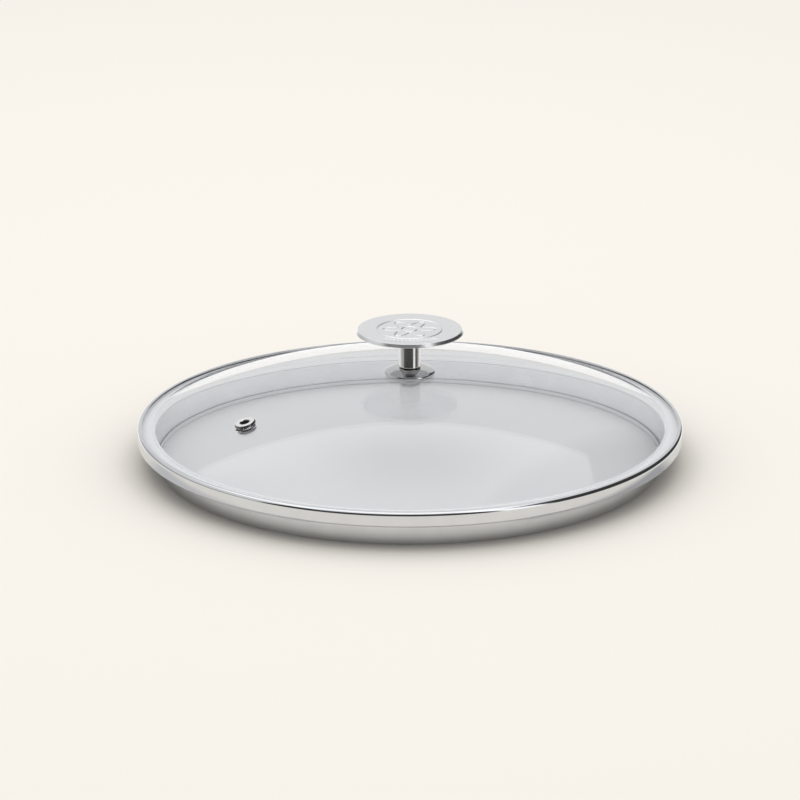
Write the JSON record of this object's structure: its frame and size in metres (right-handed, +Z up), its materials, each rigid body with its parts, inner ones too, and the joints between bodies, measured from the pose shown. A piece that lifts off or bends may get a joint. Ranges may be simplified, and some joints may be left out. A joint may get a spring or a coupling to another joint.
{
  "type": "glass pan lid",
  "caption": "Round domed glass lid with a steel rim that drops into a pan, a steam vent and a flat disc knob on a short stem.",
  "frame": {"origin": "on the lid's axis, at the height of the skirt's bottom edge that the lid stands on", "axes": "+Z up through the knob, +X to the right and +Y to the back when the vent is at the front left"},
  "size_m": [0.254, 0.254, 0.0632],
  "materials": {
    "lid_glass": "clear tempered glass, polished",
    "rim_steel": "bright rolled stainless steel with fine lines round the rim",
    "polished_steel": "mirror polished stainless steel",
    "satin_steel": "fine satin stainless steel",
    "hardware_steel": "plain stainless steel fastener",
    "clear_silicone": "translucent pale silicone",
    "dark_silicone": "matt dark grey silicone"
  },
  "bodies": {
    "root": {"glass_dome": "lid_glass", "rim_band": "rim_steel", "rim_seal": "clear_silicone", "vent_eyelet": "rim_steel", "vent_gasket_upper": "dark_silicone", "vent_sleeve": "dark_silicone", "vent_washer": "hardware_steel", "knob_disc": "satin_steel", "knob_stem": "polished_steel", "knob_base": "polished_steel", "knob_gasket_upper": "dark_silicone", "knob_sleeve": "dark_silicone", "knob_gasket_lower": "clear_silicone", "knob_washer": "hardware_steel", "knob_lock_washer": "hardware_steel", "knob_screw": "hardware_steel"}
  },
  "joints": []
}
